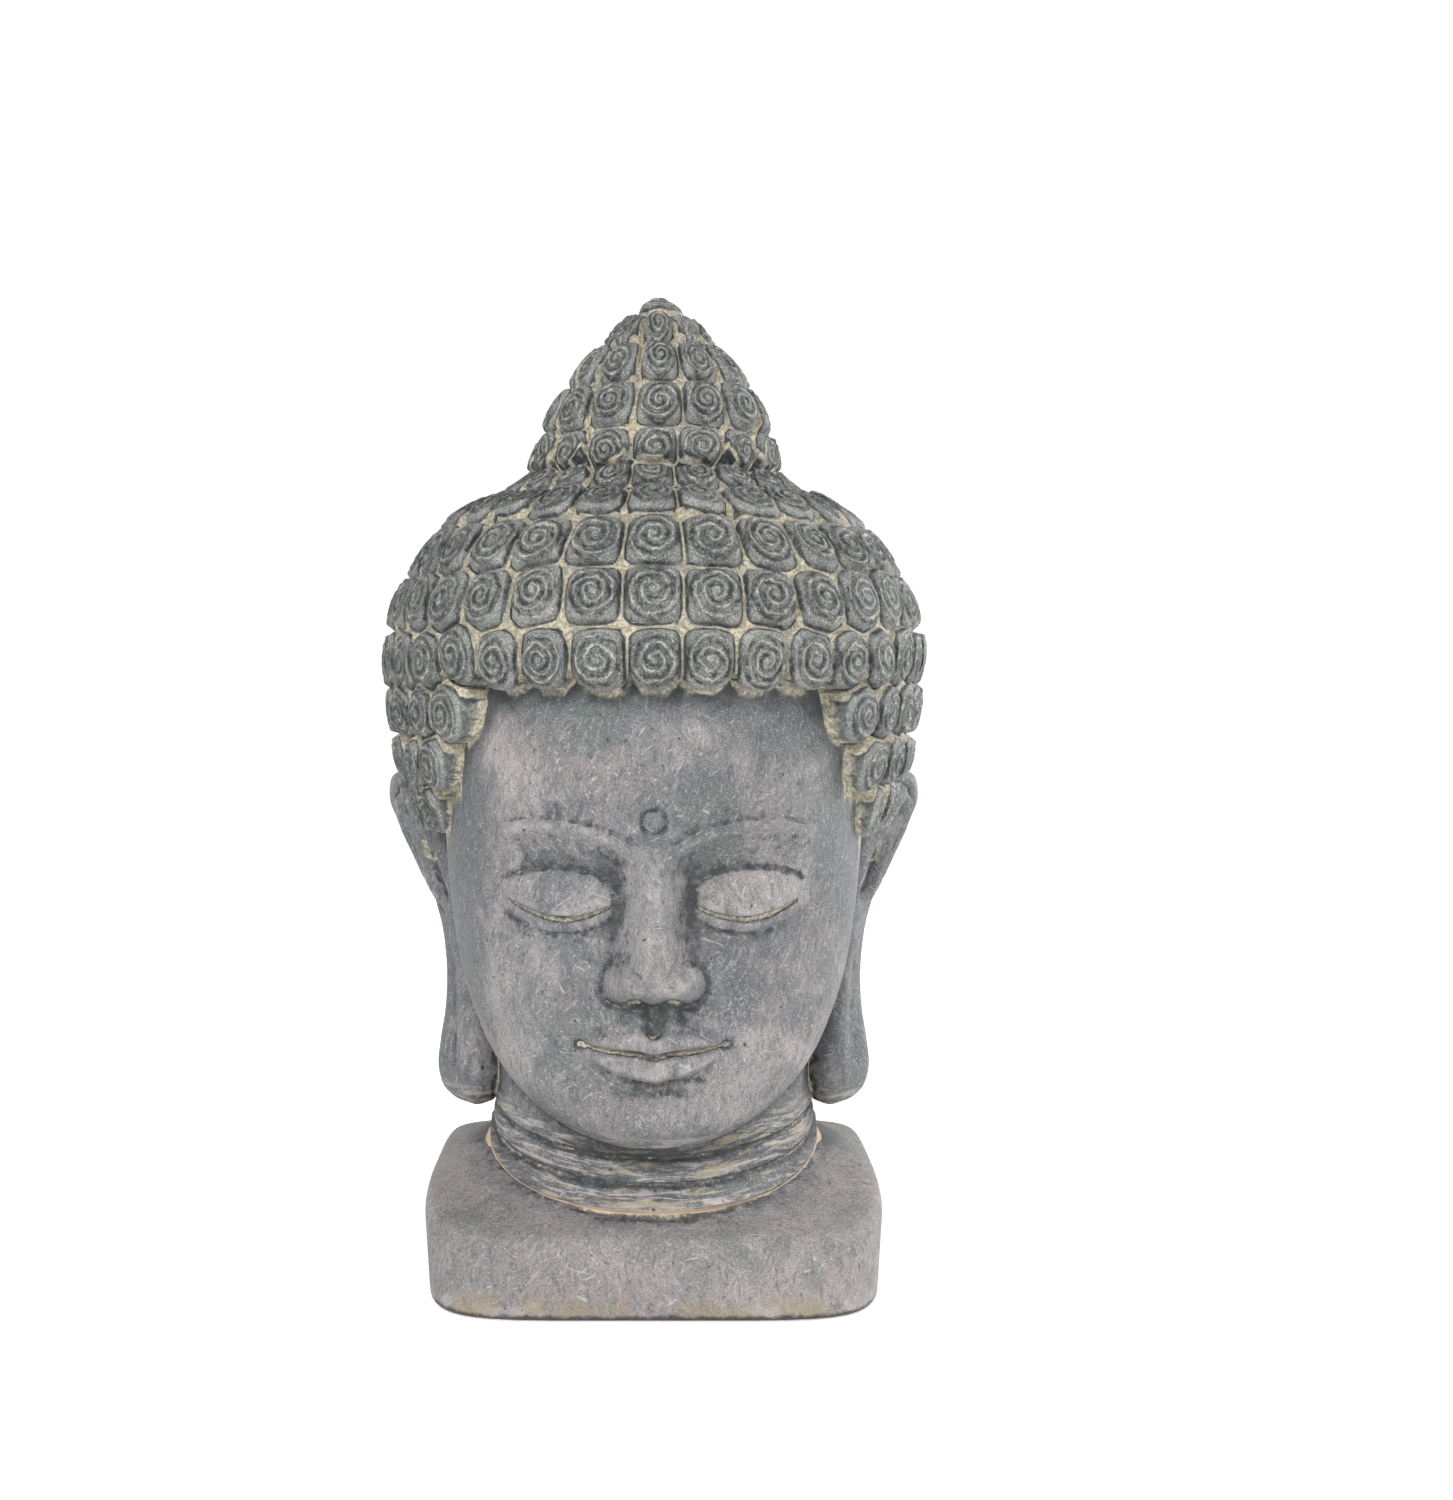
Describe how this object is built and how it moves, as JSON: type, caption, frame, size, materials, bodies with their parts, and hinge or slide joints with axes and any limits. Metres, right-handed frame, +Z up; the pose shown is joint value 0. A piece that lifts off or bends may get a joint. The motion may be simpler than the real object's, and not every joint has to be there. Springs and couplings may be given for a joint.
{
  "type": "stone buddha head",
  "caption": "Cast stone Buddha head with a tall crown of snail curls, long ears and closed eyes, on its own low chest block.",
  "frame": {"origin": "middle of the flat underside of the chest block", "axes": "+Z up to the crown, the face looks towards -Y, +X to the right as seen from the front"},
  "size_m": [0.2794, 0.2666, 0.4699],
  "materials": {
    "cast_stone": "matt, weathered grey with a pale residue in the hollows"
  },
  "bodies": {
    "root": {"buddha_head": "cast_stone"}
  },
  "joints": []
}
